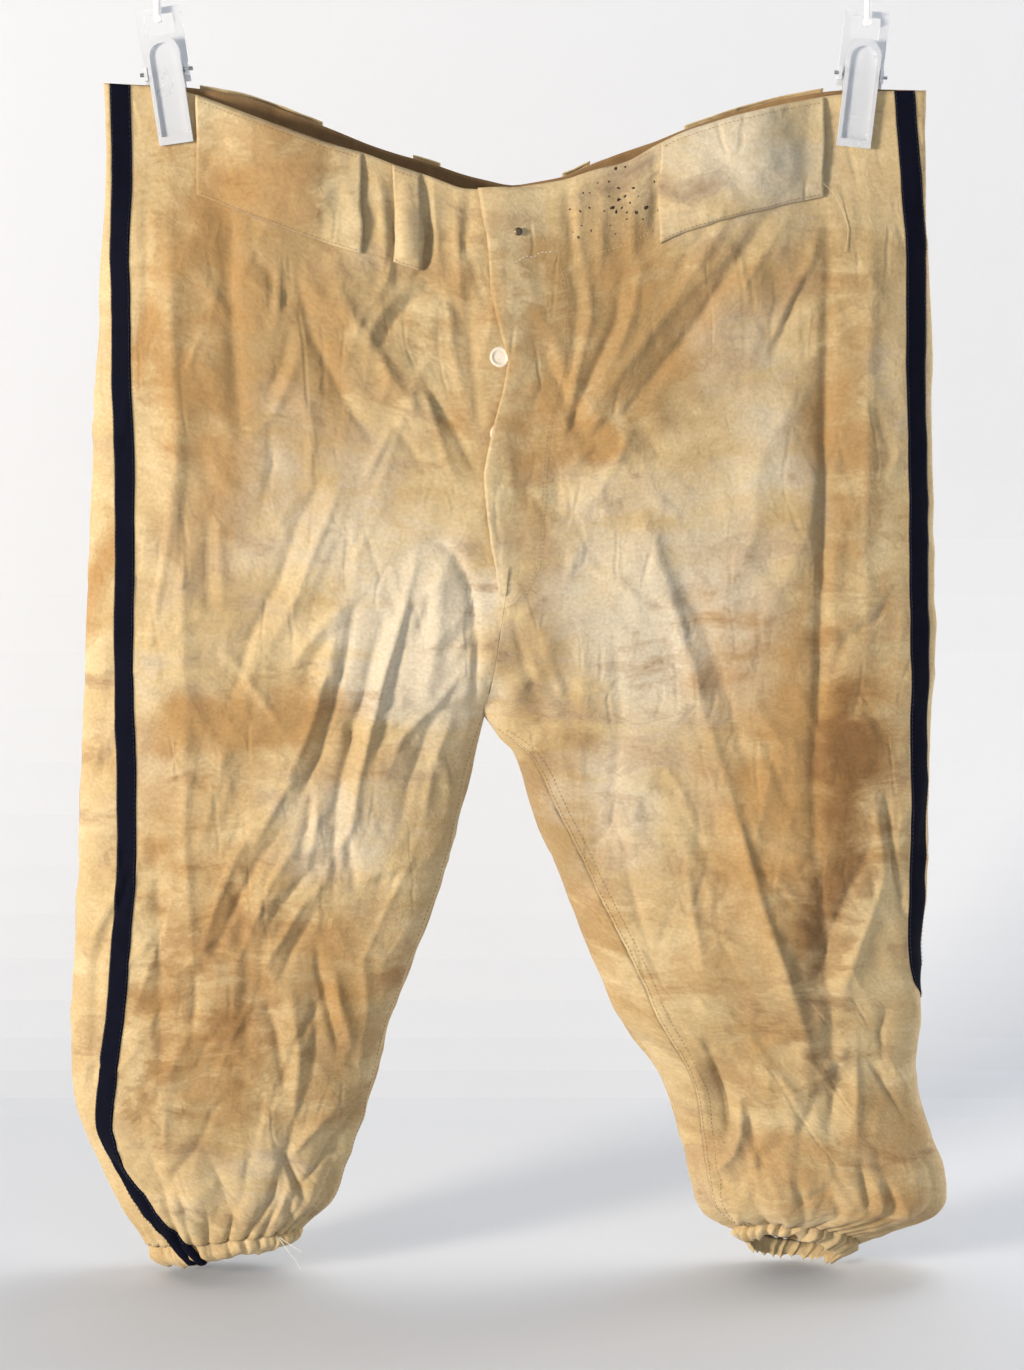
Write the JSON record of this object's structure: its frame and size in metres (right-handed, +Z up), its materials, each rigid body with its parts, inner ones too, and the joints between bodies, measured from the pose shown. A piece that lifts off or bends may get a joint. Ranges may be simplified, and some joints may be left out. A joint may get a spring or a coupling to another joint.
{
  "type": "baseball pants on a clip hanger",
  "caption": "Knee-length twill baseball pants with side braid, belt tunnels, button fly and gathered hems, hung by the waist from a hanger with clips.",
  "frame": {"origin": "inside the top of the hanger's hook, where it rests on a rail", "axes": "+Z up, +X to the wearer's left, -Y out of the garment's front"},
  "size_m": [0.5663, 0.079, 0.9234],
  "materials": {
    "twill": "washed cotton twill, cream with ochre stains",
    "facing": "plain cotton, browned",
    "braid": "flat woven braid, navy",
    "button": "polished shell",
    "clip": "translucent white, moulded",
    "hanger": "white, moulded",
    "snap": "tarnished",
    "steel": "drawn wire"
  },
  "bodies": {
    "root": {"front_right": "twill", "front_left": "twill", "back_right": "twill", "back_left": "twill", "facing_front_right": "facing", "facing_front_left": "facing", "facing_back_right": "facing", "facing_back_left": "facing", "tunnel_front_right": "twill", "tunnel_front_left": "twill", "tunnel_back_right": "twill", "tunnel_back_left": "twill", "loop_front_right": "twill", "loop_back_right": "twill", "loop_back_left": "twill", "casing_right": "twill", "casing_left": "twill", "fly_flap": "twill", "fly_stand": "twill", "braid_right": "braid", "braid_left": "braid", "fly_button_1": "button", "fly_button_2": "button", "fly_button_3": "button", "waist_snap": "snap", "hanger_bar": "hanger", "clip_right_front_jaw": "clip", "clip_right_back_jaw": "clip", "clip_left_front_jaw": "clip", "clip_left_back_jaw": "clip", "clip_right_pin": "steel", "clip_left_pin": "steel", "hanger_hook": "steel"}
  },
  "joints": []
}
